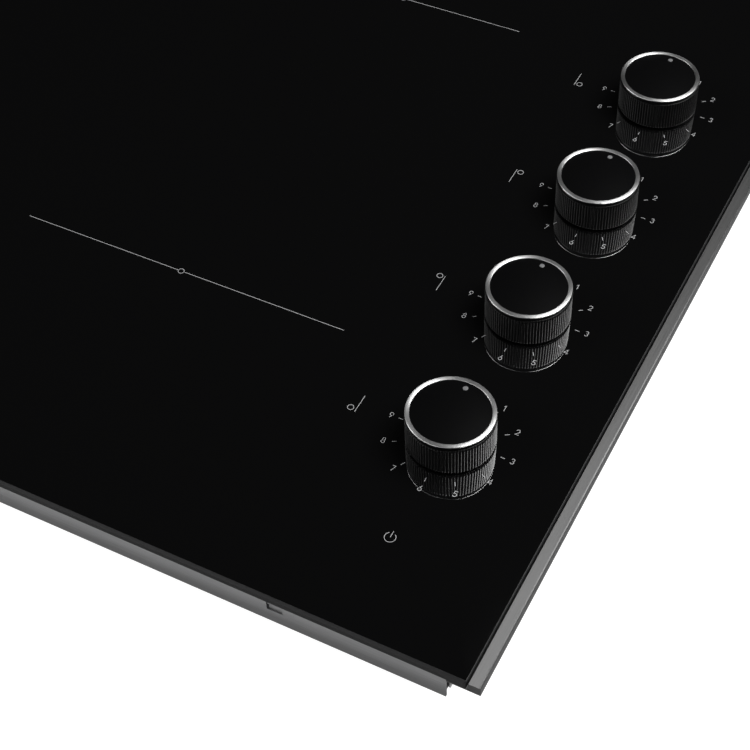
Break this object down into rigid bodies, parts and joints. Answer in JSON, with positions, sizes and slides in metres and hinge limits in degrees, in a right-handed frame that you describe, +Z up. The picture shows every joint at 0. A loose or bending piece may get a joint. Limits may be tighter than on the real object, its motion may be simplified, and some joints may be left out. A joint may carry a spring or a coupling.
{
  "type": "electric induction cooktop",
  "caption": "Built-in induction cooktop: black glass panel with steel side trims, turning knobs down its right side and a sheet steel pan under it that holds coils, electronics and fans.",
  "frame": {"origin": "centre of the pan's underside, which is the bottom centre of the whole object", "axes": "+X to the user's right along the width, +Y to the back, +Z up out of the glass; the front edge faces -Y"},
  "size_m": [0.6028, 0.52, 0.0752],
  "materials": {
    "black_glass": "polished black glass ceramic",
    "seal_rubber": "matte",
    "trim_steel": "brushed along its length",
    "rail_steel": "brushed along its length",
    "pan_steel": "galvanised sheet",
    "screw_steel": "zinc plated",
    "tray_aluminium": "mill finish",
    "spring_steel": "drawn wire",
    "former_plastic": "moulded",
    "coil_copper": "enamelled copper strands",
    "mica": "pressed mica sheet",
    "ferrite": "sintered ferrite",
    "sensor_ceramic": "silicone and ceramic",
    "lead_sleeve": "silicone sleeve",
    "circuit_board": "solder mask",
    "sink_aluminium": "extruded",
    "parts_plastic": "potted components",
    "fan_plastic": "moulded",
    "terminal_plastic": "moulded",
    "box_plastic": "moulded",
    "carrier_plastic": "moulded",
    "encoder_metal": "plated",
    "shaft_metal": "turned",
    "knob_plastic": "satin black, fine straight knurl",
    "ring_steel": "turned and brushed round",
    "cap_plastic": "satin black"
  },
  "bodies": {
    "cooktop": {"glass_top": "black_glass", "glass_seal": "seal_rubber", "shaft_seals": "seal_rubber", "side_trim_left": "trim_steel", "side_trim_right": "trim_steel", "front_rail": "rail_steel", "rear_rail": "rail_steel", "side_rail_left": "rail_steel", "side_rail_right": "rail_steel", "base_pan": "pan_steel", "case_screws": "screw_steel", "coil_tray_left": "tray_aluminium", "coil_tray_right": "tray_aluminium", "tray_springs": "spring_steel", "coil_former_1": "former_plastic", "coil_former_2": "former_plastic", "coil_former_3": "former_plastic", "coil_former_4": "former_plastic", "coil_winding_1": "coil_copper", "coil_winding_2": "coil_copper", "coil_winding_3": "coil_copper", "coil_winding_4": "coil_copper", "mica_sheets": "mica", "ferrite_bars": "ferrite", "pan_sensors": "sensor_ceramic", "coil_leads": "lead_sleeve", "power_boards": "circuit_board", "heat_sink_left": "sink_aluminium", "heat_sink_right": "sink_aluminium", "power_parts_left": "parts_plastic", "power_parts_right": "parts_plastic", "fan_housing_left": "fan_plastic", "fan_housing_right": "fan_plastic", "filter_board": "circuit_board", "filter_parts": "parts_plastic", "terminal_block": "terminal_plastic", "terminal_box": "box_plastic", "cable_clamp": "box_plastic", "control_board": "circuit_board", "control_carrier": "carrier_plastic", "touch_spring": "spring_steel", "encoder_bodies": "encoder_metal"},
    "knob_1": {"encoder_shaft_1": "shaft_metal", "knob_body_1": "knob_plastic", "knob_ring_1": "ring_steel", "knob_cap_1": "cap_plastic"},
    "knob_2": {"encoder_shaft_2": "shaft_metal", "knob_body_2": "knob_plastic", "knob_ring_2": "ring_steel", "knob_cap_2": "cap_plastic"},
    "knob_3": {"encoder_shaft_3": "shaft_metal", "knob_body_3": "knob_plastic", "knob_ring_3": "ring_steel", "knob_cap_3": "cap_plastic"},
    "knob_4": {"encoder_shaft_4": "shaft_metal", "knob_body_4": "knob_plastic", "knob_ring_4": "ring_steel", "knob_cap_4": "cap_plastic"},
    "fan_left": {"fan_rotor_left": "fan_plastic"},
    "fan_right": {"fan_rotor_right": "fan_plastic"}
  },
  "joints": [
    {"name": "knob_1_turn", "type": "hinge", "parent": "cooktop", "child": "knob_1", "pos_m": [0.236, -0.1517, 0.06], "axis": [0, 0, -1], "range_deg": [0, 270]},
    {"name": "knob_2_turn", "type": "hinge", "parent": "cooktop", "child": "knob_2", "pos_m": [0.236, -0.0684, 0.06], "axis": [0, 0, -1], "range_deg": [0, 270]},
    {"name": "knob_3_turn", "type": "hinge", "parent": "cooktop", "child": "knob_3", "pos_m": [0.236, 0.0149, 0.06], "axis": [0, 0, -1], "range_deg": [0, 270]},
    {"name": "knob_4_turn", "type": "hinge", "parent": "cooktop", "child": "knob_4", "pos_m": [0.236, 0.0982, 0.06], "axis": [0, 0, -1], "range_deg": [0, 270]},
    {"name": "fan_left_spin", "type": "hinge", "parent": "cooktop", "child": "fan_left", "pos_m": [-0.198, 0.112, 0.012], "axis": [0, 0, 1], "continuous": true},
    {"name": "fan_right_spin", "type": "hinge", "parent": "cooktop", "child": "fan_right", "pos_m": [0.025, 0.112, 0.012], "axis": [0, 0, 1], "continuous": true}
  ]
}
